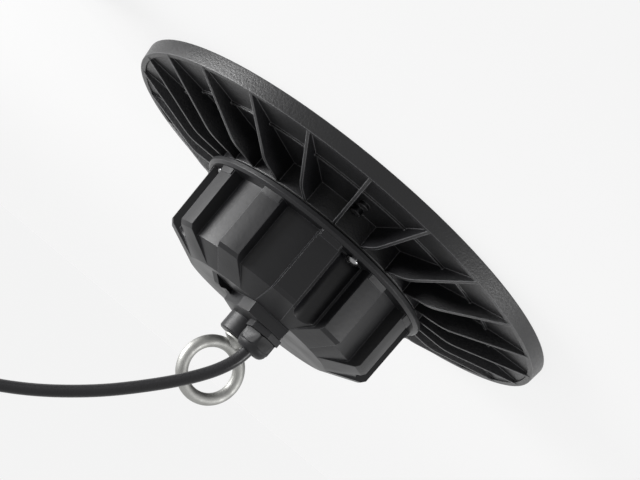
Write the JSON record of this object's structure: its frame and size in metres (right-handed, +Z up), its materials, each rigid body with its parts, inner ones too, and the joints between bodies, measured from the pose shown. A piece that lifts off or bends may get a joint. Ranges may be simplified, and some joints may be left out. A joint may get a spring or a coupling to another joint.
{
  "type": "high bay light",
  "caption": "Round hanging high bay light: finned disc heat sink with lens underneath, ribbed driver housing, forged hanging eye, cable gland and loose supply cord.",
  "frame": {"origin": "centre of the rim's bottom face, on which the lamp rests when it is put down, lens side down", "axes": "+Z up along the lamp's axis, from the lens side to the hanging eye; +X towards the side where the supply cord falls"},
  "size_m": [0.4512, 0.3616, 0.2226],
  "materials": {
    "sink_coat": "fine textured black powder coat",
    "housing_coat": "satin black powder coat",
    "zinc_steel": "bright zinc plated forged steel",
    "screw_steel": "plain stainless steel",
    "gland_nylon": "moulded black nylon",
    "seal_rubber": "moulded black rubber",
    "silicone": "white silicone",
    "lens_plastic": "clear polycarbonate, lightly frosted",
    "board_metal": "white solder mask on aluminium",
    "chip_phosphor": "yellow phosphor in white cups",
    "insulation": "plain cream insulating sheet",
    "board_green": "green solder mask on glass fibre",
    "spacer_brass": "turned brass",
    "core_tape": "yellow tape over ferrite",
    "can_sleeve": "black sleeve on aluminium can",
    "choke_ferrite": "enamelled copper wire on a ring core",
    "terminal_plastic": "green moulded terminal block",
    "wire_white": "white silicone lead",
    "cord_sheath": "satin black sheath",
    "core_brown": "brown core insulation",
    "core_green": "green and yellow core insulation",
    "core_blue": "blue core insulation",
    "tinned_copper": "tinned copper",
    "tie_nylon": "moulded black nylon strap"
  },
  "bodies": {
    "root": {"heat_sink": "sink_coat", "led_board": "board_metal", "board_screws": "screw_steel", "led_chips": "chip_phosphor", "lens_plate": "lens_plastic", "lens_screws": "screw_steel", "lens_gasket": "silicone", "driver_housing": "housing_coat", "housing_gasket": "seal_rubber", "housing_screws": "screw_steel", "eye_bolt": "zinc_steel", "eye_washer": "zinc_steel", "eye_nut": "zinc_steel", "gland_body": "gland_nylon", "gland_cap": "gland_nylon", "gland_seal": "seal_rubber", "gland_locknut": "gland_nylon", "insulating_sheet": "insulation", "board_spacers": "spacer_brass", "driver_screws": "screw_steel", "driver_board": "board_green", "transformer": "core_tape", "capacitors": "can_sleeve", "choke": "choke_ferrite", "terminal_block": "terminal_plastic", "supply_cores": "wire_white", "led_leads": "wire_white", "lead_grommet": "seal_rubber", "power_cord": "cord_sheath", "cord_coil": "cord_sheath", "cord_tail": "cord_sheath", "core_live": "core_brown", "core_earth": "core_green", "core_neutral": "core_blue", "core_ferrules": "tinned_copper", "cord_tie": "tie_nylon"}
  },
  "joints": []
}
